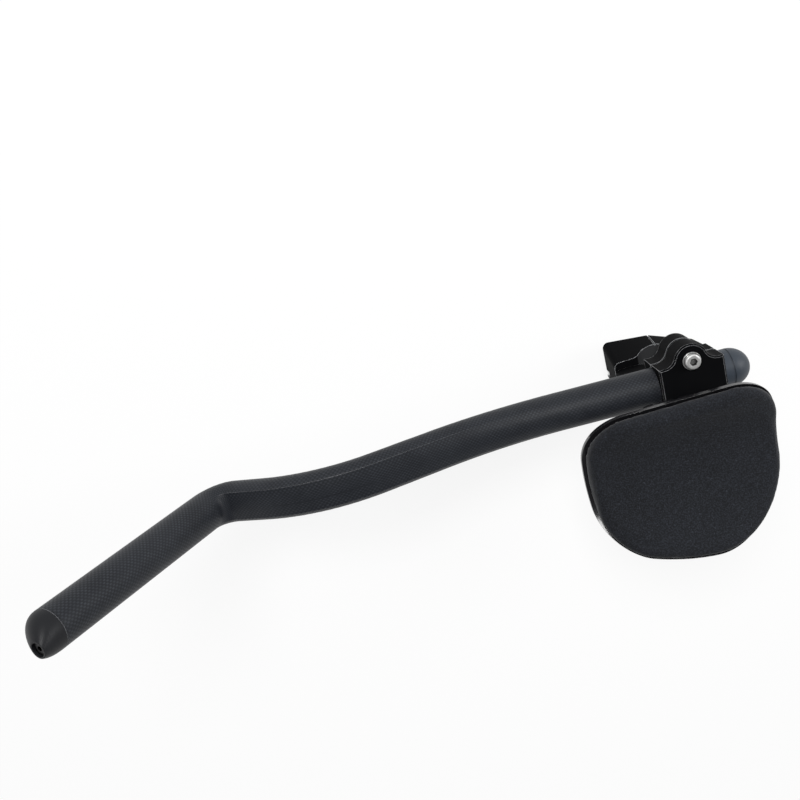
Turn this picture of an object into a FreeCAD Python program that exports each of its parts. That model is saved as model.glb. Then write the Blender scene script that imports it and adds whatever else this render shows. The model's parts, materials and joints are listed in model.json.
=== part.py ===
import FreeCAD, Part
import math
import os

# Left-hand clip-on triathlon bar: a carbon extension in a two-bolt bracket, with an arm rest beside it.
# Millimetres. X points forward, Y outward to the rider's left, Z up.
# The origin is on the axis of the handlebar that the bracket clamps, in the middle of the clamp.

V = FreeCAD.Vector
UP = V(0, 0, 1)
DOWN = V(0, 0, -1)
FORWARD = V(1, 0, 0)
BACK = V(-1, 0, 0)
OUTWARD = V(0, 1, 0)

# Handlebar clamp
bar_diameter = 31.8
seat_depth = 8.85
clamp_length = 58.0
clamp_half_height = 22.0
clamp_outer_face = 9.5
clamp_front_face = 7.7
clamp_ridge_face = 9.1
clamp_rear_face = 4.9
clamp_step = 4.4
cap_foot_front = 15.9
cap_foot_ridge = 13.6
cap_foot_rear = 3.2
clamp_corner_radius = 3.6
clamp_lip_radius = 6.0
clamp_parting_gap = 0.2
ridge_groove_width = 0.9
ridge_groove_depth = 0.7
clamp_bolt_inset = 4.3
clamp_bolt_out = 3.4
cradle_floor = 1.9

# Extension
tube_diameter = 22.2
tube_wall = 1.7
rear_run = 131.0
rise_run = 108.7
fall_run = 67.3
grip_run = 126.0
rise_angle = 17.1
fall_angle = 25.2
grip_angle = 58.3
rise_radius = 250.0
crest_radius = 90.0
grip_bend_radius = 14.5
flat_width = 24.0
flat_depth_below = 9.6
flat_depth_above = 7.6
crease_angle = 45.0
round_margin = 5.0
blend_steps = 4

# Jaws round the extension
jaw_length = 37.0
jaw_offset = -2.0
jaw_side = 13.2
jaw_split_gap = 1.5
jaw_fit = 0.05
jaw_web = 0.8
jaw_top_height = 14.6
jaw_nose_radius = 9.5
jaw_nose_blend = 7.0
jaw_edge_chamfer = 0.9
jaw_outer_wall = 3.2
plate_thickness = 4.0
plate_reach = 33.0
plate_front = 4.0
plate_corner_radius = 6.0

# Fasteners, size M5
bolt_diameter = 5.0
bolt_hole_diameter = 5.3
bolt_head_diameter = 8.5
bolt_head_height = 5.0
bolt_head_chamfer = 0.5
low_head_height = 2.8
low_hex_depth = 1.6
hex_key = 4.0
hex_depth = 2.5
washer_diameter = 10.2
washer_thickness = 1.0
thread_fit = 0.05
head_clearance = 0.25

# Rear plug and front cap
plug_collar = 6.2
plug_dome = 11.8
plug_groove_width = 0.6
plug_groove_depth = 0.4
spigot_fit = 0.05
spigot_length = 16.0
cap_length = 12.6
cap_face_radius = 4.6
cap_face_offset = 5.6
cap_lean_angle = 24.0
cap_bluntness = 2.4
cap_rings = (0.0, 0.2, 0.45, 0.7, 0.87, 1.0)
cap_screw_diameter = 4.0
cap_screw_head_diameter = 7.0
cap_screw_head_height = 2.6
cap_screw_recess = 1.2
cap_hex_key = 2.5
cap_hex_depth = 1.6
wedge_length = 12.0
wedge_slope = 35.0
wedge_gap = 0.3

# Arm cup
trough_radius = 60.0
trough_centre_out = 38.0
trough_height = 20.0
trough_reference = 16.5
trough_pitch = 8.4
cup_thickness = 2.5
cup_rear = -36.5
cup_front = 65.9
# How far the trough's wall has turned from its bottom at the cup's corners
inner_rear_angle = 49.5
inner_front_angle = 33.5
outer_angle = 44.3
cup_front_bulge = 2.7
cup_outer_bulge = 7.9
cup_rear_bulge = 0.7
cup_inner_rear_radius = 23.5
cup_inner_front_radius = 29.0
cup_outer_front_radius = 30.0
cup_outer_rear_radius = 49.0
foot_rear = -23.5
foot_front = 34.5
foot_inner = 3.5
foot_outer = 35.0
foot_corner_radius = 9.0
foot_wall = 2.5
foot_flutes = 4
foot_flute_radius = 2.2
foot_flute_depth = 1.3
foot_flute_pitch = 11.0
spacer_height = 2.0
spacer_diameter = 10.0
cup_boss_diameter = 11.0
cup_bolt_floor = 2.5
cup_bolt_out = 20.0
cup_bolt_rear = -11.5
cup_bolt_front = 12.5

# Arm pad
pad_inset = 1.4
pad_thickness = 10.0
pad_edge_radius = 4.0
patch_thickness = 1.2
patch_length = 26.0
patch_width = 44.0
patch_spacing = 50.0
pad_seat_gap = 0.3

# Length of a cutter that passes through everything, and how near two places count as the same
through = 400.0
near = 0.01

# Worked out from the sizes above
bar_radius = bar_diameter / 2
tube_radius = tube_diameter / 2
split_height = bar_radius - seat_depth
clamp_travel = 2 * split_height
clamp_top = split_height + clamp_half_height
axis_height = clamp_top + cradle_floor + tube_radius
jaw_rear = jaw_offset - jaw_length / 2
jaw_front = jaw_offset + jaw_length / 2
tube_rear = jaw_rear
jaw_bolt_out = tube_radius + jaw_fit + jaw_web + bolt_hole_diameter / 2
plate_top = axis_height + jaw_top_height
foot_bottom = plate_top + spacer_height
trough_axis_height = axis_height + trough_height + trough_radius


def export(shape, name):
    """Writes one piece to its own file."""
    if not shape.isValid():
        print(name, "is not valid")
    shape.exportStep(os.path.join("parts", name + ".step"))
    print(name, len(shape.Solids), round(shape.Volume, 1))


def polygon(points):
    return Part.makePolygon(points + points[:1])


def rod(radius, length, base, direction=UP):
    return Part.makeCylinder(radius, length, base, direction)


def hexagon(key, depth, base, direction):
    """A six-sided prism of the key's width across its flats."""
    corner = key / math.sqrt(3)
    turns = [math.tau * k / 6 for k in range(6)]
    points = [V(corner * math.cos(turn), corner * math.sin(turn), 0) for turn in turns]
    prism = Part.Face(polygon(points)).extrude(UP * depth)
    prism.Placement = FreeCAD.Placement(base, FreeCAD.Rotation(UP, direction))
    return prism


def bolt(seat, direction, length, head_height=bolt_head_height, socket_depth=hex_depth):
    """A bolt with a hexagon socket: its head stands on the seat, its shank runs along the direction."""
    head = rod(bolt_head_diameter / 2, head_height, seat, direction * -1)
    rim = [edge for edge in head.Edges if edge.Curve.TypeId == "Part::GeomCircle"]
    top = max(rim, key=lambda edge: (edge.CenterOfMass - seat).Length)
    head = head.makeChamfer(bolt_head_chamfer, [top])
    shank = rod(bolt_diameter / 2, length, seat, direction)
    socket_base = seat - direction * (head_height - socket_depth)
    socket = hexagon(hex_key, socket_depth, socket_base, direction * -1)
    return head.fuse(shank).removeSplitter().cut(socket)


def washer(base, direction):
    ring = rod(washer_diameter / 2, washer_thickness, base, direction)
    return ring.cut(rod(bolt_hole_diameter / 2, washer_thickness, base, direction))


# Extension path: straight runs joined by arcs, in the plane of the extension

def path_corners():
    """The corners of the extension's centre line, from the tube's rear end to the cap joint."""
    runs = [(rear_run, 0.0), (rise_run, rise_angle), (fall_run, -fall_angle), (grip_run, grip_angle)]
    corners = [V(tube_rear, 0, axis_height)]
    for length, angle in runs:
        turn = math.radians(angle)
        corners.append(corners[-1] + V(math.cos(turn), 0, math.sin(turn)) * length)
    return corners


def path_angles():
    return [0.0, rise_angle, -fall_angle, grip_angle]


def path_at(distance):
    """The place and the heading, in degrees, at a distance along the rounded centre line."""
    corners = path_corners()
    angles = path_angles()
    radii = [rise_radius, crest_radius, grip_bend_radius]
    start = corners[0]
    left = distance
    for k, angle in enumerate(angles):
        heading = math.radians(angle)
        forward = V(math.cos(heading), 0, math.sin(heading))
        last = k == len(radii)
        turn = 0.0 if last else math.radians(angles[k + 1] - angle)
        tangent = 0.0 if last else radii[k] * math.tan(abs(turn) / 2)
        straight = (corners[k + 1] - start).Length - tangent
        if left <= straight or last:
            return start + forward * left, angle
        left -= straight
        arc = radii[k] * abs(turn)
        start = start + forward * straight
        side = math.copysign(1, turn)
        normal = V(-math.sin(heading), 0, math.cos(heading)) * side
        if left <= arc:
            swing = left / radii[k]
            ahead = forward * (radii[k] * math.sin(swing))
            aside = normal * (radii[k] * (1 - math.cos(swing)))
            return start + ahead + aside, angle + side * math.degrees(swing)
        left -= arc
        start = corners[k + 1] + V(math.cos(heading + turn), 0, math.sin(heading + turn)) * tangent


def path_marks():
    """Distances along the path where each arc starts and ends, and the whole length."""
    angles = path_angles()
    runs = [rear_run, rise_run, fall_run, grip_run]
    radii = [rise_radius, crest_radius, grip_bend_radius]
    marks = []
    travelled = 0.0
    used = 0.0
    for k, radius in enumerate(radii):
        turn = math.radians(abs(angles[k + 1] - angles[k]))
        tangent = radius * math.tan(turn / 2)
        travelled += runs[k] - used - tangent
        marks.append((travelled, travelled + radius * turn))
        travelled += radius * turn
        used = tangent
    return marks, travelled + runs[-1] - used


def smooth(value, low, high):
    share = min(max((value - low) / (high - low), 0.0), 1.0)
    return share * share * (3 - 2 * share)


def round_reach():
    """The distance along the path at which the tube starts to flatten."""
    (rise, _, _), _ = path_marks()
    return rise[0] - round_margin


def section(distance, inset):
    """The tube's section: round, or flattened with a crease on each side of its upper face."""
    (_, crest, bend), _ = path_marks()
    flat = smooth(distance, round_reach(), crest[0]) * (1 - smooth(distance, bend[0], bend[1]))
    wide = tube_radius + flat * (flat_width / 2 - tube_radius) - inset
    below = tube_radius + flat * (flat_depth_below - tube_radius) - inset
    above = tube_radius + flat * (flat_depth_above - tube_radius) - inset
    crease = math.radians(crease_angle)
    ellipse = Part.Ellipse(V(0, 0, 0), max(wide, below), below)
    lower = Part.ArcOfEllipse(ellipse, math.pi - crease, math.tau + crease).toShape()
    left, right = lower.valueAt(lower.FirstParameter), lower.valueAt(lower.LastParameter)
    upper = Part.Arc(right, V(0, above, 0), left).toShape()
    wire = Part.Wire([lower, upper])
    place, angle = path_at(distance)
    heading = math.radians(angle)
    ahead = V(math.cos(heading), 0, math.sin(heading))
    normal = V(-math.sin(heading), 0, math.cos(heading))
    wire.Placement = FreeCAD.Placement(FreeCAD.Matrix(
        OUTWARD.x, normal.x, ahead.x, place.x,
        OUTWARD.y, normal.y, ahead.y, place.y,
        OUTWARD.z, normal.z, ahead.z, place.z,
        0, 0, 0, 1))
    return wire


def swept_run(marks, straight, stations, inset):
    """A run of the tube through its sections at the stations, on lines and arcs that take turns."""
    edges = []
    for low, high in zip(marks, marks[1:]):
        first, last = path_at(low)[0], path_at(high)[0]
        if straight:
            edges.append(Part.makeLine(first, last))
        else:
            edges.append(Part.Arc(first, path_at((low + high) / 2)[0], last).toShape())
        straight = not straight
    return Part.Wire(edges).makePipeShell([section(distance, inset) for distance in stations], True, False)


def spread(low, high):
    return [low + (high - low) * k / blend_steps for k in range(blend_steps + 1)]


def tube_body(inset):
    """The extension's outside, or its inside where it is inset by the wall."""
    (rise, crest, bend), whole = path_marks()
    begin = round_reach()
    rear = rod(tube_radius - inset, begin, V(tube_rear, 0, axis_height), FORWARD)
    flattening = swept_run([begin, *rise, crest[0]], True, spread(begin, crest[0]), inset)
    flattened = swept_run([*crest, bend[0]], False, crest[:1], inset)
    rounding = swept_run(bend, False, spread(*bend), inset)
    place, angle = path_at(bend[1])
    ahead = V(math.cos(math.radians(angle)), 0, math.sin(math.radians(angle)))
    grip = rod(tube_radius - inset, whole - bend[1], place, ahead)
    return rear.fuse([flattening, flattened, rounding, grip]).removeSplitter()


def grip_end():
    """The middle of the cap joint, the grip's heading and the direction towards its upper rear side."""
    _, whole = path_marks()
    place, angle = path_at(whole)
    turn = math.radians(angle)
    return place, V(math.cos(turn), 0, math.sin(turn)), V(-math.sin(turn), 0, math.cos(turn))


def make_extension_tube():
    return tube_body(0).cut(tube_body(tube_wall))


def make_rear_end_plug():
    """A rubber plug: a spigot in the tube, a collar flush with it, a fine groove and a domed end."""
    joint = V(tube_rear, 0, axis_height)
    collar_end = joint + BACK * plug_collar
    collar = rod(tube_radius, plug_collar, joint, BACK)
    spigot = rod(tube_radius - tube_wall - spigot_fit, spigot_length, joint, FORWARD)
    stretch = FreeCAD.Matrix()
    stretch.scale(1, 1, plug_dome / tube_radius)
    dome = Part.makeSphere(tube_radius, V(0, 0, 0), UP, 0, 90).transformGeometry(stretch)
    dome.Placement = FreeCAD.Placement(collar_end, FreeCAD.Rotation(UP, BACK))
    groove = rod(tube_diameter, plug_groove_width, collar_end, FORWARD)
    groove = groove.cut(rod(tube_radius - plug_groove_depth, plug_groove_width, collar_end, FORWARD))
    return collar.fuse([spigot, dome]).removeSplitter().cut(groove)


def cap_lean():
    """The direction across the grip in which the cap's nose leans, between rearward and outward."""
    _, _, rearward = grip_end()
    turn = math.radians(cap_lean_angle)
    return rearward * math.cos(turn) + OUTWARD * math.sin(turn)


def cap_outside():
    """The cap's slanted nose, through rings that shift to the side on which it leans."""
    joint, ahead, _ = grip_end()
    rings = []
    for share in cap_rings:
        shrink = share ** cap_bluntness
        radius = tube_radius + (cap_face_radius - tube_radius) * shrink
        centre = joint + ahead * (cap_length * share) + cap_lean() * (cap_face_offset * shrink)
        rings.append(Part.Wire(Part.makeCircle(radius, centre, ahead)))
    return Part.makeLoft(rings, True, False)


def cap_screw_line():
    joint, ahead, _ = grip_end()
    return joint + ahead * cap_length + cap_lean() * cap_face_offset, ahead


def wedge_cut(shift):
    """Everything behind the slanted face by which the wedge spreads in the tube."""
    joint, ahead, rearward = grip_end()
    turn = math.radians(wedge_slope)
    normal = ahead * math.cos(turn) + rearward * math.sin(turn)
    return rod(through / 2, through, joint - ahead * (spigot_length + shift), normal * -1)


def make_front_end_cap():
    joint, ahead, _ = grip_end()
    spigot_radius = tube_radius - tube_wall - spigot_fit
    spigot = rod(spigot_radius, spigot_length + spigot_radius, joint, ahead * -1).cut(wedge_cut(0))
    face, _ = cap_screw_line()
    sunk = cap_screw_recess + cap_screw_head_height
    recess = rod(cap_screw_head_diameter / 2 + head_clearance, sunk, face, ahead * -1)
    hole = rod(cap_screw_diameter / 2 + head_clearance, through, face, ahead * -1)
    return cap_outside().fuse(spigot).removeSplitter().cut(recess.fuse(hole))


def make_cap_screw():
    face, ahead = cap_screw_line()
    seat = face - ahead * (cap_screw_recess + cap_screw_head_height)
    head = rod(cap_screw_head_diameter / 2, cap_screw_head_height, seat, ahead)
    length = cap_length + spigot_length + wedge_length - cap_screw_recess - cap_screw_head_height
    shank = rod(cap_screw_diameter / 2, length, seat, ahead * -1)
    socket = hexagon(cap_hex_key, cap_hex_depth, seat + ahead * cap_screw_head_height, ahead * -1)
    return head.fuse(shank).removeSplitter().cut(socket)


def make_cap_wedge():
    """The sliding wedge that the cap's screw draws against the spigot's slanted end."""
    joint, ahead, _ = grip_end()
    spigot_radius = tube_radius - tube_wall - spigot_fit
    reach = spigot_length + spigot_radius + wedge_length
    block = rod(spigot_radius, reach, joint, ahead * -1).common(wedge_cut(wedge_gap))
    face, _ = cap_screw_line()
    return block.cut(rod(cap_screw_diameter / 2, reach + cap_length, face, ahead * -1))


# Bracket

def clamp_outline(height, front, ridge, rear):
    """The clamp's outline at a height, its inner side folded along a ridge in the middle."""
    end = clamp_length / 2
    return polygon([
        V(end, -front, height), V(0, -ridge, height), V(-end, -rear, height),
        V(-end, clamp_outer_face, height), V(end, clamp_outer_face, height)])


def ridge_groove(low, low_ridge, high, high_ridge):
    """The fine groove that runs down the ridge of the inner side."""
    half = ridge_groove_width / 2
    rings = []
    for height, ridge in ((low, low_ridge), (high, high_ridge)):
        rings.append(polygon([
            V(-half, -ridge - half, height), V(half, -ridge - half, height),
            V(half, ridge_groove_depth - ridge, height), V(-half, ridge_groove_depth - ridge, height)]))
    return Part.makeLoft(rings, True, True)


def upright(edge):
    ends = [vertex.Point for vertex in edge.Vertexes]
    return len(ends) == 2 and abs(ends[0].z - ends[1].z) > abs(ends[0].x - ends[1].x) + near


def corner_edges(shape):
    """Edges that stand at the clamp's two ends."""
    reach = clamp_length / 2 - near
    return [edge for edge in shape.Edges if upright(edge) and abs(edge.CenterOfMass.x) > reach]


def lip_edges(shape, height):
    """The two edges where the bar's seat meets the parting face."""
    found = []
    for edge in shape.Edges:
        ends = [vertex.Point for vertex in edge.Vertexes]
        level = all(abs(point.z - height) < near for point in ends)
        inside = all(near < abs(point.x) < bar_radius for point in ends)
        if len(ends) == 2 and level and inside and abs(ends[0].x - ends[1].x) < near:
            found.append(edge)
    return found


def bar_seat(height):
    return rod(bar_radius, through, V(0, -through / 2, height), OUTWARD)


def clamp_bolt_axes():
    reach = clamp_length / 2 - clamp_bolt_inset
    return {"front": V(reach, clamp_bolt_out, 0), "rear": V(-reach, clamp_bolt_out, 0)}


def head_pocket(axis, low):
    """A counterbore deep enough for a bolt's head. It opens to the clamp's end face."""
    return rod(bolt_head_diameter / 2 + head_clearance, bolt_head_height + head_clearance, axis + UP * low)


def make_clamp_half_top():
    """The clamp's upper half, whose inner side stands back from the lower half's."""
    ridge = clamp_ridge_face - clamp_step
    shape = (clamp_front_face - clamp_step, ridge, clamp_rear_face - clamp_step)
    body = Part.Face(clamp_outline(split_height, *shape)).extrude(UP * clamp_half_height)
    body = body.makeFillet(clamp_corner_radius, corner_edges(body))
    body = body.cut(bar_seat(0))
    body = body.makeFillet(clamp_lip_radius, lip_edges(body, split_height))
    body = body.cut(ridge_groove(split_height, ridge, clamp_top, ridge))
    for axis in clamp_bolt_axes().values():
        body = body.cut(rod(bolt_diameter / 2 + thread_fit, clamp_half_height, axis + UP * split_height))
        body = body.cut(head_pocket(axis, clamp_top - bolt_head_height - head_clearance))
    return body


def make_clamp_cap():
    """The clamp's lower half, drawn up against the upper one, its inner side flaring downwards."""
    top = split_height - clamp_parting_gap
    low = top - clamp_half_height
    wide = (cap_foot_front, cap_foot_ridge, cap_foot_rear)
    shape = (clamp_front_face, clamp_ridge_face, clamp_rear_face)
    body = Part.makeLoft([clamp_outline(low, *wide), clamp_outline(top, *shape)], True, True)
    body = body.makeFillet(clamp_corner_radius, corner_edges(body))
    body = body.cut(bar_seat(clamp_travel - clamp_parting_gap))
    body = body.makeFillet(clamp_lip_radius, lip_edges(body, top))
    body = body.cut(ridge_groove(low, cap_foot_ridge, top, clamp_ridge_face))
    for axis in clamp_bolt_axes().values():
        body = body.cut(rod(bolt_hole_diameter / 2, clamp_half_height, axis + UP * low))
        body = body.cut(head_pocket(axis, low))
    return body


def make_clamp_bolt(name):
    cap_bottom = split_height - clamp_parting_gap - clamp_half_height
    seat = clamp_bolt_axes()[name] + UP * (cap_bottom + bolt_head_height + head_clearance)
    return bolt(seat, UP, clamp_top - head_clearance - seat.z)


def jaw_plan(low, high):
    """The jaws' shape in plan: a block over the tube with a round nose about the pinch bolt."""
    outer = jaw_bolt_out + bolt_hole_diameter / 2 + jaw_outer_wall
    block = Part.makeBox(jaw_length, jaw_side + outer, high - low, V(jaw_rear, -jaw_side, low))
    nose = rod(jaw_nose_radius, high - low, V(jaw_offset, -jaw_bolt_out, low))
    body = block.fuse(nose).removeSplitter()
    reach = jaw_nose_radius + near
    corners = []
    for edge in body.Edges:
        middle = edge.CenterOfMass
        if upright(edge) and abs(middle.y + jaw_side) < near and abs(middle.x - jaw_offset) < reach:
            corners.append(edge)
    return body.makeFillet(jaw_nose_blend, corners)


def tube_bore():
    return rod(tube_radius + jaw_fit, through, V(-through / 2, 0, axis_height), FORWARD)


def jaw_bolt_hole(side, diameter):
    return rod(diameter / 2, through, V(jaw_offset, side * jaw_bolt_out, 0))


def make_bracket_body():
    """The forging that holds the handlebar from above and the extension from below."""
    cradle = jaw_plan(clamp_top, axis_height - jaw_split_gap / 2)
    body = make_clamp_half_top().fuse(cradle).removeSplitter().cut(tube_bore())
    for side in (-1, 1):
        body = body.cut(jaw_bolt_hole(side, bolt_diameter + 2 * thread_fit))
    return body


def make_upper_jaw():
    """The upper jaw and, in one piece with it, the plate that carries the arm rest."""
    low = axis_height + jaw_split_gap / 2
    corner = V(jaw_rear, jaw_side, plate_top - plate_thickness)
    plate = Part.makeBox(jaw_length + plate_front, plate_reach - jaw_side, plate_thickness, corner)
    outer = [edge for edge in plate.Edges if upright(edge) and edge.CenterOfMass.y > jaw_side + near]
    plate = plate.makeFillet(plate_corner_radius, outer)
    body = jaw_plan(low, plate_top).fuse(plate).removeSplitter()
    top = max(body.Faces, key=lambda face: face.CenterOfMass.z)
    body = body.makeChamfer(jaw_edge_chamfer, top.OuterWire.Edges)
    body = body.cut(tube_bore())
    for side in (-1, 1):
        body = body.cut(jaw_bolt_hole(side, bolt_hole_diameter))
    for place in cup_bolt_places():
        body = body.cut(rod(bolt_diameter / 2 + thread_fit, through, place))
    return body


def make_jaw_bolt(side):
    seat = V(jaw_offset, side * jaw_bolt_out, plate_top + washer_thickness)
    length = washer_thickness + plate_top - clamp_top - cradle_floor
    return bolt(seat, DOWN, length, low_head_height, low_hex_depth)


def make_jaw_washer(side):
    return washer(V(jaw_offset, side * jaw_bolt_out, plate_top), UP)


# Arm rest

def cup_bolt_places():
    return [V(cup_bolt_rear, cup_bolt_out, 0), V(cup_bolt_front, cup_bolt_out, 0)]


def wrapped(angle):
    """The place out from the middle at which the trough's wall has turned by an angle from its bottom."""
    return trough_centre_out + trough_radius * math.sin(math.radians(angle))


def bulged(start, end, bulge):
    """A side that bows outward by the bulge in its middle."""
    along = end - start
    aside = V(along.y, -along.x, 0).normalize()
    return Part.Arc(start, start + along / 2 + aside * bulge, end).toShape()


def cup_plan(inset, low, high):
    """The arm rest's outline in plan, four bowed sides with rounded corners, raised to a prism."""
    rear, front = cup_rear + inset, cup_front - inset
    inner_rear = V(rear, wrapped(-inner_rear_angle) + inset, low)
    inner_front = V(front, wrapped(-inner_front_angle) + inset, low)
    outer_front = V(front, wrapped(outer_angle) - inset, low)
    outer_rear = V(rear, wrapped(outer_angle) - inset, low)
    sides = [
        Part.makeLine(inner_rear, inner_front), bulged(inner_front, outer_front, cup_front_bulge),
        bulged(outer_front, outer_rear, cup_outer_bulge), bulged(outer_rear, inner_rear, cup_rear_bulge)]
    prism = Part.Face(Part.Wire(sides)).extrude(UP * (high - low))
    corners = [
        (inner_rear, cup_inner_rear_radius), (inner_front, cup_inner_front_radius),
        (outer_front, cup_outer_front_radius), (outer_rear, cup_outer_rear_radius)]
    for corner, radius in corners:
        middle = corner + UP * ((high - low) / 2)
        edges = [edge for edge in prism.Edges if (edge.CenterOfMass - middle).Length < near]
        prism = prism.makeFillet(radius - inset, edges)
    return prism


def trough(radius, lift=0.0):
    """A long cylinder along the arm, tipped down towards the front."""
    tip = math.radians(trough_pitch)
    along = V(math.cos(tip), 0, -math.sin(tip))
    upward = V(math.sin(tip), 0, math.cos(tip))
    reach = 2 * (cup_front - cup_rear)
    start = V(trough_reference, trough_centre_out, trough_axis_height + lift) - along * reach
    body = Part.makeCylinder(radius, 2 * reach)
    body.Placement = FreeCAD.Placement(FreeCAD.Matrix(
        upward.x, 0, along.x, start.x,
        upward.y, -1, along.y, start.y,
        upward.z, 0, along.z, start.z,
        0, 0, 0, 1))
    return body


def cup_layer(hollow, mould, inset):
    """What lies inside the arm rest's outline and the mould, but outside the hollow."""
    prism = cup_plan(inset, clamp_top, trough_axis_height - trough_radius / 4)
    return prism.common(mould.cut(hollow)).Solids[0]


def rounded_box(size, corner, radius):
    """A box whose upright edges are rounded."""
    box = Part.makeBox(size.x, size.y, size.z, corner)
    return box.makeFillet(radius, [edge for edge in box.Edges if upright(edge)])


def make_foot():
    """The hollow foot under the cup, with its screw bosses and the flutes in its inner wall."""
    corner = V(foot_rear, foot_inner, foot_bottom)
    size = V(foot_front, foot_outer, trough_axis_height) - corner
    wall = V(foot_wall, foot_wall, 0)
    room = rounded_box(size - wall * 2, corner + wall, foot_corner_radius - foot_wall)
    foot = rounded_box(size, corner, foot_corner_radius).cut(room)
    bosses = [rod(cup_boss_diameter / 2, size.z, place + UP * foot_bottom) for place in cup_bolt_places()]
    foot = foot.fuse(bosses)
    first = (foot_front + foot_rear - (foot_flutes - 1) * foot_flute_pitch) / 2
    out = foot_inner - foot_flute_radius + foot_flute_depth
    for k in range(foot_flutes):
        foot = foot.cut(rod(foot_flute_radius, size.z, V(first + k * foot_flute_pitch, out, foot_bottom)))
    return foot.cut(trough(trough_radius + cup_thickness / 2))


def make_arm_cup():
    shell = cup_layer(trough(trough_radius), trough(trough_radius + cup_thickness), 0)
    cup = shell.fuse(make_foot()).removeSplitter()
    for place in cup_bolt_places():
        cup = cup.cut(rod(bolt_hole_diameter / 2, trough_radius, place + UP * foot_bottom))
        seat = place + UP * cup_bolt_seat()
        cup = cup.cut(rod(washer_diameter / 2 + head_clearance, trough_radius, seat))
    return cup


def cup_bolt_seat():
    """The height of the flat on which the cup bolts' washers lie, sunk below the pad."""
    return foot_bottom + cup_bolt_floor


def make_cup_spacer(place):
    ring = rod(spacer_diameter / 2, spacer_height, place + UP * plate_top)
    return ring.cut(rod(bolt_hole_diameter / 2, spacer_height, place + UP * plate_top))


def make_cup_washer(place):
    return washer(place + UP * cup_bolt_seat(), UP)


def make_cup_bolt(place):
    seat = place + UP * (cup_bolt_seat() + washer_thickness)
    return bolt(seat, DOWN, seat.z - plate_top + plate_thickness, low_head_height, low_hex_depth)


def make_arm_pad():
    """The foam pad: as thick at its edge as in its middle, with its upper edge rounded."""
    radius = trough_radius - patch_thickness - pad_seat_gap
    body = cup_layer(trough(radius, pad_thickness), trough(radius), pad_inset)
    faces = [face for face in body.Faces if face.Surface.TypeId == "Part::GeomCylinder"]
    top = max(faces, key=lambda face: (face.Area > body.Area / 4, face.CenterOfMass.z))
    return body.makeFillet(pad_edge_radius, top.OuterWire.Edges)


def make_pad_patch(side):
    """A hook-and-loop patch between the cup and the pad."""
    middle = (cup_front + cup_rear) / 2 + side * patch_spacing / 2
    block = Part.makeBox(
        patch_length, patch_width, trough_radius,
        V(middle - patch_length / 2, trough_centre_out - patch_width / 2, axis_height))
    return block.common(trough(trough_radius).cut(trough(trough_radius - patch_thickness)))


def main():
    os.makedirs("parts", exist_ok=True)
    export(make_extension_tube(), "extension_tube")
    export(make_rear_end_plug(), "rear_end_plug")
    export(make_front_end_cap(), "front_end_cap")
    export(make_cap_screw(), "cap_screw")
    export(make_cap_wedge(), "cap_wedge")
    export(make_bracket_body(), "bracket_body")
    export(make_clamp_cap(), "clamp_cap")
    export(make_clamp_bolt("front"), "front_clamp_bolt")
    export(make_clamp_bolt("rear"), "rear_clamp_bolt")
    export(make_upper_jaw(), "upper_jaw")
    for name, side in (("inner", -1), ("outer", 1)):
        export(make_jaw_bolt(side), name + "_pinch_bolt")
        export(make_jaw_washer(side), name + "_pinch_washer")
    export(make_arm_cup(), "arm_cup")
    for name, place in zip(("rear", "front"), cup_bolt_places()):
        export(make_cup_spacer(place), name + "_cup_spacer")
        export(make_cup_washer(place), name + "_cup_washer")
        export(make_cup_bolt(place), name + "_cup_bolt")
    export(make_arm_pad(), "arm_pad")
    for name, side in (("rear", -1), ("front", 1)):
        export(make_pad_patch(side), name + "_pad_patch")


main()
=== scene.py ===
# %% [markdown]
# # A clip-on triathlon bar
# A bent carbon tube lies in a bolted black bracket, and a padded cup beside it carries the forearm.
# The rigid pieces arrive at their true size and place as the frame, so this script never moves them.
# It sets up the camera and the studio, makes the soft pad, and gives every surface its finish.

# %% The frame
import bmesh
import bpy
import json
import math
from mathutils import Euler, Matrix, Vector


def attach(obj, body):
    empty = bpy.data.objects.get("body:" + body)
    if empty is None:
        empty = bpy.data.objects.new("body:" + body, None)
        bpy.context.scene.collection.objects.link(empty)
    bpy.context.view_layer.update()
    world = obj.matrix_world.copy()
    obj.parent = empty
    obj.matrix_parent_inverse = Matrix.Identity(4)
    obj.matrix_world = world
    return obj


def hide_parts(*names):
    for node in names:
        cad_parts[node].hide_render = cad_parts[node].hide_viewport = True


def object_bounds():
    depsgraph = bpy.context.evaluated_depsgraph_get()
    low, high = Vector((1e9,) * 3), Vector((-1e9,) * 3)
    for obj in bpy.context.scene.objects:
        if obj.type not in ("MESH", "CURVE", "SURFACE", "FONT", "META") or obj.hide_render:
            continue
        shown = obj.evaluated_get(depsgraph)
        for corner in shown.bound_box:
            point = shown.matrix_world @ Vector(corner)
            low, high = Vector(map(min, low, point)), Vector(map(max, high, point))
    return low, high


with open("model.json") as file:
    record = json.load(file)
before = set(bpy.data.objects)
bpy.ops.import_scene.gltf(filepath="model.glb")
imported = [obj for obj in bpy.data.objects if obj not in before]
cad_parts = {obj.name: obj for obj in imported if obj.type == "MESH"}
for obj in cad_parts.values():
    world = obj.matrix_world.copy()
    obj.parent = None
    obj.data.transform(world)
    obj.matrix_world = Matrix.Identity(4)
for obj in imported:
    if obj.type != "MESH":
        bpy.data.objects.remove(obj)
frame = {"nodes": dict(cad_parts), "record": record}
cad_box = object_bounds()
nodes = frame["nodes"]
scene = bpy.context.scene
MM = 0.001

# %% [markdown]
# ## Camera
# The picture looks down on the bar from above its inner side, with a slightly wide lens.
# A camera can be aimed by a target, but the roll matters here too.
# So its place and its three turns are given.

# %% Camera
camera_place = Vector((149.3, -179.8, 533.6)) * MM
camera_turns = (-16.603, -3.164, 165.602)
camera_lens = 40.82

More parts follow.
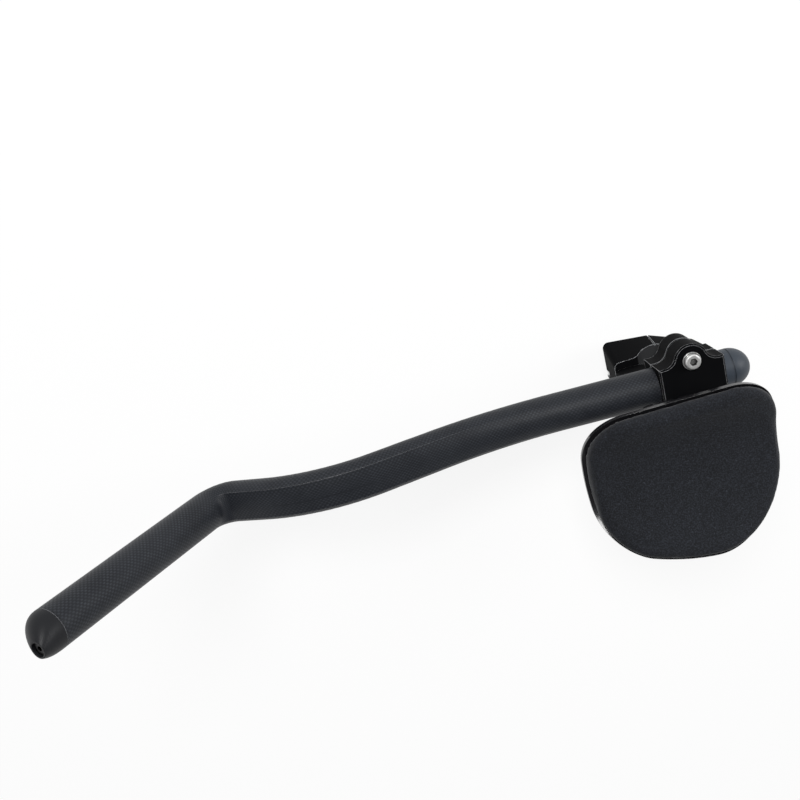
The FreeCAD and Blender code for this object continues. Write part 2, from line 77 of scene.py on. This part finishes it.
camera_data = bpy.data.cameras.new("studio_camera")
camera_data.lens = camera_lens
camera = bpy.data.objects.new("studio_camera", camera_data)
camera.location = camera_place
camera.rotation_euler = Euler([math.radians(turn) for turn in camera_turns])
scene.collection.objects.link(camera)
scene.camera = camera
print("camera at", camera_place[:])

# %% [markdown]
# ## Shader maths
# A finish is a tree of nodes. Written out node by node, even a small sum takes many lines.
# This class wraps one socket, so that a sum such as `1 - mask` adds the Math nodes that it needs.
# Every other node comes from the one method `node`, which sets the node up and then fills its sockets.

# %% A socket that does sums
class Wire:
    """One socket of a shader's tree."""

    def __init__(self, tree, socket=None):
        self.tree = tree
        self.socket = socket

    def node(self, kind, settings=None, inputs=None, out=0):
        """Adds a node: first its settings, then a value or a wire on each socket that is named."""
        added = self.tree.nodes.new(kind)
        for name, value in (settings or {}).items():
            setattr(added, name, value)
        for key, value in (inputs or {}).items():
            if isinstance(value, Wire):
                self.tree.links.new(value.socket, added.inputs[key])
            else:
                added.inputs[key].default_value = value
        return Wire(self.tree, added.outputs[out]) if len(added.outputs) else None

    def maths(self, operation, *values):
        return self.node("ShaderNodeMath", {"operation": operation}, dict(enumerate(values)))

    def __add__(self, other):
        return self.maths("ADD", self, other)

    def __radd__(self, other):
        return self.maths("ADD", other, self)

    def __sub__(self, other):
        return self.maths("SUBTRACT", self, other)

    def __rsub__(self, other):
        return self.maths("SUBTRACT", other, self)

    def __mul__(self, other):
        return self.maths("MULTIPLY", self, other)

    def __rmul__(self, other):
        return self.maths("MULTIPLY", other, self)

    def __truediv__(self, other):
        return self.maths("DIVIDE", self, other)

    def sine(self):
        return self.maths("SINE", self)

    def root(self):
        return self.maths("SQRT", self)

    def size(self):
        return self.maths("ABSOLUTE", self)

    def floor(self):
        return self.maths("FLOOR", self)

    def fraction(self):
        return self.maths("FRACT", self)

    def above(self, limit):
        return self.maths("GREATER_THAN", self, limit)

    def below(self, limit):
        return self.maths("LESS_THAN", self, limit)

    def between(self, low, high):
        """Rises smoothly from 0 at low to 1 at high."""
        return self.node(
            "ShaderNodeMapRange", {"interpolation_type": "SMOOTHSTEP"},
            {"Value": self, "From Min": low, "From Max": high})

    def blend(self, other, share):
        return self + (other - self) * share

    def colour(self, low, high):
        """A colour between two, each three numbers or a wire. This wire is the share of the second."""
        low, high = (end if isinstance(end, Wire) else (*end, 1.0) for end in (low, high))
        return self.node("ShaderNodeMix", {"data_type": "RGBA"}, {0: self, 6: low, 7: high}, out=2)

    def noise(self, scale, detail=2.0, stretch=(1.0, 1.0, 1.0)):
        """Cloudy noise on the object's own coordinates."""
        place = self.node("ShaderNodeTexCoord", out="Object")
        place = self.node("ShaderNodeMapping", {}, {"Vector": place, "Scale": stretch})
        return self.node("ShaderNodeTexNoise", {}, {"Vector": place, "Scale": scale, "Detail": detail})

    def bump(self, height, strength, distance, normal=None):
        inputs = {"Height": height, "Strength": strength, "Distance": distance}
        if normal is not None:
            inputs["Normal"] = normal
        return self.node("ShaderNodeBump", {}, inputs)


def new_finish(name):
    """An empty material and the wire with which its tree is started."""
    material = bpy.data.materials.new(name)
    material.use_nodes = True
    material.node_tree.nodes.clear()
    return material, Wire(material.node_tree)


def close_finish(material, start, inputs):
    """Ends a tree in one Principled shader."""
    shader = start.node("ShaderNodeBsdfPrincipled", {}, inputs)
    start.node("ShaderNodeOutputMaterial", {}, {"Surface": shader})
    return material


print("shader maths ready")

# %% [markdown]
# ## Studio
# The studio is white: a pale floor, a surround that is white along the horizon, and soft lamps.
# The floor is mostly its own white for the camera, so that it stays pale and still takes a faint shadow.
# It lies just below the clamp's lower half when that is let down, so that no pose sinks into it.
# Black finishes show what they mirror, so the surround darkens overhead, as a studio's ceiling does.

# %% Floor and surround
floor_width = 60.0
clamp_travel = 13.9 * MM
floor_clearance = 0.2 * MM
floor_gap = clamp_travel + floor_clearance
floor_white = 0.97
floor_glow = 0.86
surround_light = 0.16
ceiling_grey = 0.1
horizon_top, ceiling_start = 0.35, 0.75


def seen_or_mirrored(start):
    """1 for what the camera sees, also mirrored or through glass, and 0 for light that falls on a piece."""
    path = {}
    for ray in ("Is Camera Ray", "Is Glossy Ray", "Is Transmission Ray"):
        path[ray] = start.node("ShaderNodeLightPath", out=ray)
    both = path["Is Camera Ray"].maths("MAXIMUM", path["Is Camera Ray"], path["Is Glossy Ray"])
    return both.maths("MAXIMUM", both, path["Is Transmission Ray"])


def make_floor():
    shape = bmesh.new()
    bmesh.ops.create_grid(shape, x_segments=1, y_segments=1, size=floor_width / 2)
    bmesh.ops.translate(shape, verts=shape.verts, vec=(0, 0, cad_box[0][2] - floor_gap))
    mesh = bpy.data.meshes.new("studio_floor")
    shape.to_mesh(mesh)
    shape.free()
    floor = bpy.data.objects.new("studio_floor", mesh)
    scene.collection.objects.link(floor)
    material, start = new_finish("pale_floor")
    matt = start.node("ShaderNodeBsdfDiffuse", {}, {"Color": (floor_white, floor_white, floor_white, 1.0)})
    glow = start.node("ShaderNodeEmission", {}, {"Color": (1.0, 1.0, 1.0, 1.0), "Strength": 1.0})
    share = seen_or_mirrored(start) * floor_glow
    mixed = start.node("ShaderNodeMixShader", {}, {0: share, 1: matt, 2: glow})
    start.node("ShaderNodeOutputMaterial", {}, {"Surface": mixed})
    mesh.materials.append(material)
    return floor


def make_surround():
    world = bpy.data.worlds.new("white_surround")
    world.use_nodes = True
    world.node_tree.nodes.clear()
    start = Wire(world.node_tree)
    direction = start.node("ShaderNodeTexCoord", out="Generated")
    height = start.node("ShaderNodeSeparateXYZ", {}, {0: direction}, out="Z")
    shown = 1 - height.between(horizon_top, ceiling_start) * (1.0 - ceiling_grey)
    strength = surround_light + (shown - surround_light) * seen_or_mirrored(start)
    light = start.node("ShaderNodeBackground", {}, {"Color": (1.0, 1.0, 1.0, 1.0), "Strength": strength})
    start.node("ShaderNodeOutputWorld", {}, {"Surface": light})
    scene.world = world


make_floor()
make_surround()
scene.view_settings.view_transform = "Standard"
print("floor at", round(cad_box[0][2] - floor_gap, 4))

# %% Lamps
lamp_size = 0.6
main_lamp_offset, main_lamp_power = (0.15, -0.85, 1.3), 21.0
rear_lamp_offset, rear_lamp_power = (-1.2, -0.3, 0.7), 8.0
middle = (Vector(cad_box[0]) + Vector(cad_box[1])) / 2


def make_lamp(name, offset, power):
    """A square soft lamp that looks at the middle of the bar."""
    data = bpy.data.lights.new(name, "AREA")
    data.size = lamp_size
    data.energy = power
    lamp = bpy.data.objects.new(name, data)
    lamp.location = middle + Vector(offset)
    lamp.rotation_euler = (-Vector(offset)).to_track_quat("-Z", "Y").to_euler()
    scene.collection.objects.link(lamp)
    return lamp


make_lamp("main_lamp", main_lamp_offset, main_lamp_power)
make_lamp("rear_lamp", rear_lamp_offset, rear_lamp_power)

# %% [markdown]
# ## Carbon of the extension
# The tube is laid up from a woven carbon cloth under a matte lacquer: small tows cross one over, one under.
# A flat projection would smear on the tube's sides, so the pattern follows the tube itself.
# The centre line is straight runs and arcs.
# Each of them gives a distance along the tube and a height above its axis.
# From those two, every point of the surface knows where it lies along and around the tube.

# %% The extension's centre line
tube_radius = 11.1 * MM
tube_rear = -20.5 * MM
axis_height = 42.05 * MM
run_lengths = [131.0 * MM, 108.7 * MM, 67.3 * MM, 126.0 * MM]
run_angles = [math.radians(angle) for angle in (0.0, 17.1, -25.2, 58.3)]
bend_radii = [250.0 * MM, 90.0 * MM, 14.5 * MM]


def heading(angle):
    """Forward and upward directions of a run, as x and z."""
    return Vector((math.cos(angle), math.sin(angle))), Vector((-math.sin(angle), math.cos(angle)))


def centre_line():
    """The runs and bends in order: start, angle, radius (0 if straight), side and distance so far."""
    stretches = []
    place = Vector((tube_rear, axis_height))
    travelled = 0.0
    used = 0.0
    for k, (length, angle) in enumerate(zip(run_lengths, run_angles)):
        forward = heading(angle)[0]
        stretches.append((place.copy(), angle, 0.0, 1.0, travelled))
        if k == len(bend_radii):
            break
        turn = run_angles[k + 1] - angle
        tangent = bend_radii[k] * math.tan(abs(turn) / 2)
        place = place + forward * (length - used - tangent)
        travelled += length - used - tangent
        side = math.copysign(1.0, turn)
        stretches.append((place.copy(), angle, bend_radii[k], side, travelled))
        place = place + forward * tangent + heading(angle + turn)[0] * tangent
        travelled += bend_radii[k] * abs(turn)
        used = tangent
    return stretches


def along_and_around(start):
    """Three wires: the distance along the tube, the one around it from its outer side, and Y."""
    place = start.node("ShaderNodeTexCoord", out="Object")
    x, y, z = (start.node("ShaderNodeSeparateXYZ", {}, {0: place}, out=axis) for axis in "XYZ")
    along = height = None
    for begin, angle, radius, side, travelled in centre_line():
        forward, upward = heading(angle)
        ahead = (x - begin.x) * forward.x + (z - begin.y) * forward.y
        over = (x - begin.x) * upward.x + (z - begin.y) * upward.y
        if radius:
            inward = radius - over * side
            swing = ahead.maths("ARCTAN2", ahead, inward)
            reach = (ahead * ahead + inward * inward).root()
            run, rise = swing * radius + travelled, (radius - reach) * side
        else:
            run, rise = ahead + travelled, over
        if along is None:
            along, height = run, rise
        else:
            passed = ahead.above(0.0)
            along, height = along.blend(run, passed), height.blend(rise, passed)
    around = height.maths("ARCTAN2", height, y) * tube_radius
    return along, around, y


print("centre line:", len(centre_line()), "stretches")

# %% [markdown]
# ## Edges
# No real edge is perfectly sharp, and most of what shows a black part's shape is the light along its edges.
# The Bevel node rounds an edge's shading, and where that departs from the face there is an edge.

# %% Soft edges
edge_samples = 6
edge_start, edge_full = 0.01, 0.16


def edge_and_normal(start, radius):
    """The softened normal and how near a point is to an edge, from 0 to 1."""
    soft = start.node("ShaderNodeBevel", {"samples": edge_samples}, {"Radius": radius})
    face = start.node("ShaderNodeNewGeometry", out="Normal")
    agree = start.node(
        "ShaderNodeVectorMath", {"operation": "DOT_PRODUCT"}, {0: soft, 1: face}, out="Value")
    return soft, (1 - agree).between(edge_start, edge_full)


print("edge finder ready")

# %% [markdown]
# ## Weave
# A cell of the weave shows either the tow that runs along the tube or the one that runs round it. Each tow
# is raised along its crown. The tow along the tube is painted paler and palest along its crown, a painted
# sheen of its fibres, and noise makes some tows duller than others.
# The crease of the flattened part is painted as a thin pale line, a painted highlight, inside a dark strip
# of painted shade, and so is the rim of each end.

# %% Woven carbon
tow_count = 58
tow_width = 2 * math.pi * tube_radius / tow_count
tow_scale, tow_least, tow_spread = 260.0, 0.1, 0.7
carbon_cloud_scale, carbon_cloud = 55.0, 0.35
# Painted highlight along the crease and the tube's ends, and a strip of painted shade round them
crease_radius, crease_highlight_share = 0.8 * MM, 2.0
crease_shade_radius, crease_shade_share = 3.0 * MM, 0.9
lacquer_scale, lacquer_grain = 2600.0, 0.12
lacquer_rough, lacquer_mirror, lap_gloss = 0.42, 0.2, 0.06
crown_height, grain_height = 0.7, 0.3
weave_strength, weave_height = 0.3, 0.1 * MM
# warp_black is the painted sheen of the tows along the tube, weft_black the tows round it
warp_black = (0.037, 0.041, 0.049)
weft_black = (0.007, 0.008, 0.0105)
crease_highlight_grey = (0.16, 0.165, 0.175)
seam_offset = 1.6 * MM
seam_width = 0.3 * MM
seam_from, seam_to, seam_fade = 205.0 * MM, 265.0 * MM, 10.0 * MM
seam_dark = 0.9


def make_carbon():
    material, start = new_finish("woven_carbon")
    soft, crease = edge_and_normal(start, crease_radius)
    _, crease_shade = edge_and_normal(start, crease_shade_radius)
    along, around, across = along_and_around(start)
    u, v = along / tow_width, around / tow_width
    cell = u.floor() + v.floor()
    # Painted sheen: cells of the tows along the tube are painted paler, most along their crowns
    lap = cell.maths("FLOORED_MODULO", cell, 2.0).below(1.0)
    warp_crown = (v.fraction() * math.pi).sine()
    weft_crown = (u.fraction() * math.pi).sine()
    crown = weft_crown.blend(warp_crown, lap)
    cloud = start.noise(carbon_cloud_scale, 3.0)
    tow = start.noise(tow_scale, 1.0)
    # The strip of painted shade round each crease is taken off the weave here
    shade = lap * crown * (tow_least + tow * tow_spread) + cloud * carbon_cloud - crease_shade * crease_shade_share
    begun = along.between(seam_from, seam_from + seam_fade)
    ended = along.between(seam_to - seam_fade, seam_to)
    seam = (across - seam_offset).size().below(seam_width / 2) * begun * (1 - ended)
    cloth = (shade * (1 - seam * seam_dark)).colour(weft_black, warp_black)
    # The crease and the ends are painted pale here: a painted highlight
    colour = (crease * crease_highlight_share).colour(cloth, crease_highlight_grey)
    fine = start.noise(lacquer_scale, 1.0)
    rough = lacquer_rough - lap * lap_gloss + fine * lacquer_grain
    relief = crown * crown_height + fine * grain_height - seam
    return close_finish(material, start, {
        "Base Color": colour, "Roughness": rough,
        "Normal": start.bump(relief, weave_strength, weave_height, soft),
        "Specular IOR Level": lacquer_mirror})


carbon = make_carbon()
print("woven carbon, tows", round(tow_width / MM, 2), "mm wide")

# %% [markdown]
# ## Black anodised alloy
# The bracket and the clamp are forged, machined and dyed black: satin faces with fine grain.
# The edges are painted as thin bright lines, a painted highlight where they would catch the light, and they
# are a little less rough. The bore that seats the handlebar is painted a shade paler than the faces, also a
# painted highlight.

# %% Satin black alloy
edge_radius = 0.45 * MM
seat_radius = 15.9 * MM
seat_margin = 0.2 * MM
cap_seat_height = 13.9 * MM
dye_black = (0.0012, 0.0013, 0.0017)
# The pale grey serves the faint random tone and the painted highlights on edges and seat
tone_and_highlight_grey = (0.6, 0.61, 0.63)
dye_cloud_scale, dye_cloud = 40.0, 0.006
edge_highlight, seat_highlight = 0.9, 0.04
satin_rough, satin_grain, edge_polish = 0.5, 0.12, 0.15
satin_mirror = 0.02
grain_scale, grain_strength, grain_depth = 900.0, 0.12, 0.05 * MM


def bar_seat(start, height):
    """1 on the bore that takes the handlebar, whose axis runs along Y at a height."""
    place = start.node("ShaderNodeTexCoord", out="Object")
    x, z = (start.node("ShaderNodeSeparateXYZ", {}, {0: place}, out=axis) for axis in "XZ")
    rise = z - height
    reach = (x * x + rise * rise).root()
    return (reach - seat_radius).size().below(seat_margin)


def make_anodised(name, seat_height):
    material, start = new_finish(name)
    soft, edge = edge_and_normal(start, edge_radius)
    grain = start.noise(grain_scale, 2.0)
    cloud = start.noise(dye_cloud_scale, 3.0)
    # Edges and the bar's seat are painted paler here: painted highlight
    shade = cloud * dye_cloud + edge * edge_highlight + bar_seat(start, seat_height) * seat_highlight
    return close_finish(material, start, {
        "Base Color": shade.colour(dye_black, tone_and_highlight_grey),
        "Roughness": satin_rough + grain * satin_grain - edge * edge_polish,
        "Normal": start.bump(grain, grain_strength, grain_depth, soft),
        "Specular IOR Level": satin_mirror})


anodised = make_anodised("black_anodised", 0.0)
anodised_cap = make_anodised("black_anodised_cap", cap_seat_height)
print("anodised edges softened by", edge_radius / MM, "mm")

# %% [markdown]
# ## Bright steel
# Bolts and washers are plain steel, with fine scratches. The cap's screw is black oxide.
# Little light reaches the bottom of a socket, so the Ambient Occlusion node darkens the steel there. The
# edges are painted paler, a painted highlight.

# %% Steel
steel_edge = 0.3 * MM
socket_reach = 3.0 * MM
socket_dark, socket_open = 0.45, 0.95
steel_rough, scratch_rough = 0.24, 0.16
steel_bright, scratch_bright, steel_edge_highlight = 0.7, 0.3, 0.3
scratch_scale, scratch_stretch = 3200.0, (1.0, 1.0, 0.1)
scratch_strength, scratch_depth = 0.08, 0.03 * MM


def make_steel(name, dark, bright, metal):
    material, start = new_finish(name)
    soft, edge = edge_and_normal(start, steel_edge)
    scratch = start.noise(scratch_scale, 2.0, scratch_stretch)
    sky = start.node("ShaderNodeAmbientOcclusion", {"samples": 8}, {"Distance": socket_reach}, out="AO")
    # Edges painted paler here (painted highlight); sockets darkened below by painted shade
    bare = steel_bright + scratch * scratch_bright + edge * steel_edge_highlight
    lit = bare * sky.between(socket_dark, socket_open)
    return close_finish(material, start, {
        "Base Color": lit.colour(dark, bright), "Metallic": metal,
        "Roughness": steel_rough + scratch * scratch_rough,
        "Normal": start.bump(scratch, scratch_strength, scratch_depth, soft)})


steel = make_steel("bright_steel", (0.02, 0.02, 0.02), (0.86, 0.86, 0.85), 0.7)
black_steel = make_steel("black_steel", (0.002, 0.002, 0.002), (0.02, 0.02, 0.022), 0.9)
print("steel ready")

# %% [markdown]
# ## Rubber, plastic and the moulded cup
# The rear plug is soft dull rubber, the front cap a satin moulding, and the cup under the pad is glossy.
# They are near blacks, told apart by their tint, their gloss and a fine skin.
# An edge is painted paler, a painted highlight, or darker where its share is below 0, painted shade as in
# the groove beside a seam.

# %% Moulded finishes
moulded_edge = 0.35 * MM
moulded_cloud_scale, moulded_cloud = 70.0, 0.8
pore_rough, pore_strength = 0.1, 0.25


def make_moulded(name, dark, pale, rough, skin, skin_height, painted_edge_light=0.5, mirror=0.5):
    """A moulded surface: two near blacks in soft clouds, a fine skin, and edges painted paler as highlight
    or darker as shade.
    """
    material, start = new_finish(name)
    soft, edge = edge_and_normal(start, moulded_edge)
    cloud = start.noise(moulded_cloud_scale, 3.0)
    pore = start.noise(skin, 2.0)
    return close_finish(material, start, {
        # Edges painted paler (painted highlight) or darker (painted shade) by the edge share
        "Base Color": (cloud * moulded_cloud + edge * painted_edge_light).colour(dark, pale),
        "Roughness": rough + pore * pore_rough,
        "Normal": start.bump(pore, pore_strength, skin_height, soft),
        "Specular IOR Level": mirror})


rubber = make_moulded(
    "dull_rubber", (0.018, 0.023, 0.03), (0.048, 0.06, 0.078),
    rough=0.42, skin=1500.0, skin_height=0.06 * MM, painted_edge_light=-1.0, mirror=0.35)
satin_plastic = make_moulded(
    "satin_plastic", (0.006, 0.0064, 0.0075), (0.016, 0.017, 0.02),
    rough=0.4, skin=1900.0, skin_height=0.04 * MM, painted_edge_light=-0.8, mirror=0.18)
glossy_cup = make_moulded(
    "glossy_cup", (0.008, 0.008, 0.009), (0.016, 0.016, 0.018),
    rough=0.12, skin=260.0, skin_height=0.05 * MM)
hook_tape = make_moulded(
    "hook_tape", (0.012, 0.012, 0.012), (0.03, 0.03, 0.03),
    rough=0.85, skin=700.0, skin_height=0.4 * MM)
print("moulded finishes ready")

# %% Finishes on the rigid pieces
slot_finish = {
    "carbon": carbon, "anodised": anodised, "steel": steel, "black_steel": black_steel, "rubber": rubber,
    "cap_plastic": satin_plastic, "cup_gloss": glossy_cup, "hook_tape": hook_tape}
node_finish = {"clamp_cap": anodised_cap}
for subpart in frame["record"]["subparts"]:
    if subpart["material_slot"] in slot_finish:
        mesh = nodes[subpart["node"]].data
        mesh.materials.clear()
        mesh.materials.append(node_finish.get(subpart["node"], slot_finish[subpart["material_slot"]]))

# %% [markdown]
# ## Arm pad
# The pad is a slab of foam in a knitted cover, laid in the cup by hook tape.
# Its solid has the right outline but hard, even sides, as cut foam has before it is covered.
# A cover under tension swells the faces a little and rounds the rim.
# A short cloth simulation does that by itself.

# %% The pad's foam, swollen under its cover
pad_voxel = 1.6 * MM
pad_pressure = 4.0
pad_steps = 16
pad_swell = 0.7 * MM
same_place = 0.001 * MM


def pad_start():
    """A merged copy of the pad's solid, remeshed into even squares."""
    shape = bmesh.new()
    shape.from_mesh(nodes["arm_pad"].data)
    bmesh.ops.remove_doubles(shape, verts=shape.verts, dist=same_place)
    mesh = bpy.data.meshes.new("pad_foam")
    shape.to_mesh(mesh)
    shape.free()
    pad = bpy.data.objects.new("pad_foam", mesh)
    scene.collection.objects.link(pad)
    even = pad.modifiers.new("even_squares", "REMESH")
    even.mode = "VOXEL"
    even.voxel_size = pad_voxel
    return pad


def bake_modifiers(thing):
    """Turns the object's mesh into what its modifiers make of it."""
    made = bpy.data.meshes.new_from_object(thing.evaluated_get(bpy.context.evaluated_depsgraph_get()))
    thing.modifiers.clear()
    thing.data = made


def swell(pad):
    """Blows the cover up with a short cloth run, then limits how far each point has moved."""
    before = [point.co.copy() for point in pad.data.vertices]
    cloth = pad.modifiers.new("cover", "CLOTH")
    cloth.settings.use_pressure = True
    cloth.settings.uniform_pressure_force = pad_pressure
    cloth.settings.effector_weights.gravity = 0.0
    for step in range(1, pad_steps + 1):
        scene.frame_set(step)
    bake_modifiers(pad)
    scene.frame_set(1)
    for point, start in zip(pad.data.vertices, before):
        move = point.co - start
        if move.length > pad_swell:
            point.co = start + move * (pad_swell / move.length)


pad = pad_start()
bake_modifiers(pad)
swell(pad)
print("pad:", len(pad.data.polygons), "faces")

# %% Knitted cover
knit_dark = (0.0022, 0.0026, 0.0035)
knit_pale = (0.0255, 0.0285, 0.0365)
knit_scale, knit_low, knit_high, knit_share = 1400.0, 0.42, 0.62, 0.5
speck_scale, speck_low, speck_high, speck_share = 900.0, 0.64, 0.74, 0.6
knit_cloud_scale, knit_cloud = 28.0, 0.3
knit_rough, loop_rough = 0.82, 0.15
loop_strength, loop_height = 0.55, 0.25 * MM
sheen, sheen_rough, knit_mirror = 0.12, 0.4, 0.25


def make_knit():
    material, start = new_finish("knitted_cover")
    knit = start.noise(knit_scale, 3.0)
    cloud = start.noise(knit_cloud_scale, 3.0)
    loops = knit.between(knit_low, knit_high)
    speck = start.noise(speck_scale, 1.0).between(speck_low, speck_high)
    shade = cloud * knit_cloud + loops * knit_share + speck * speck_share
    return close_finish(material, start, {
        "Base Color": shade.colour(knit_dark, knit_pale), "Roughness": knit_rough + knit * loop_rough,
        "Normal": start.bump(knit, loop_strength, loop_height),
        "Sheen Weight": sheen, "Sheen Roughness": sheen_rough, "Specular IOR Level": knit_mirror})


pad.data.materials.clear()
pad.data.materials.append(make_knit())
for face in pad.data.polygons:
    face.use_smooth = True
even_out = pad.modifiers.new("even_out", "CORRECTIVE_SMOOTH")
even_out.iterations = 4
round_off = pad.modifiers.new("round_off", "SUBSURF")
round_off.levels = round_off.render_levels = 1
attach(pad, "bracket")
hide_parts("arm_pad")
print("pad covered")

# %% [markdown]
# ## End

# %% End
print("scene ready")
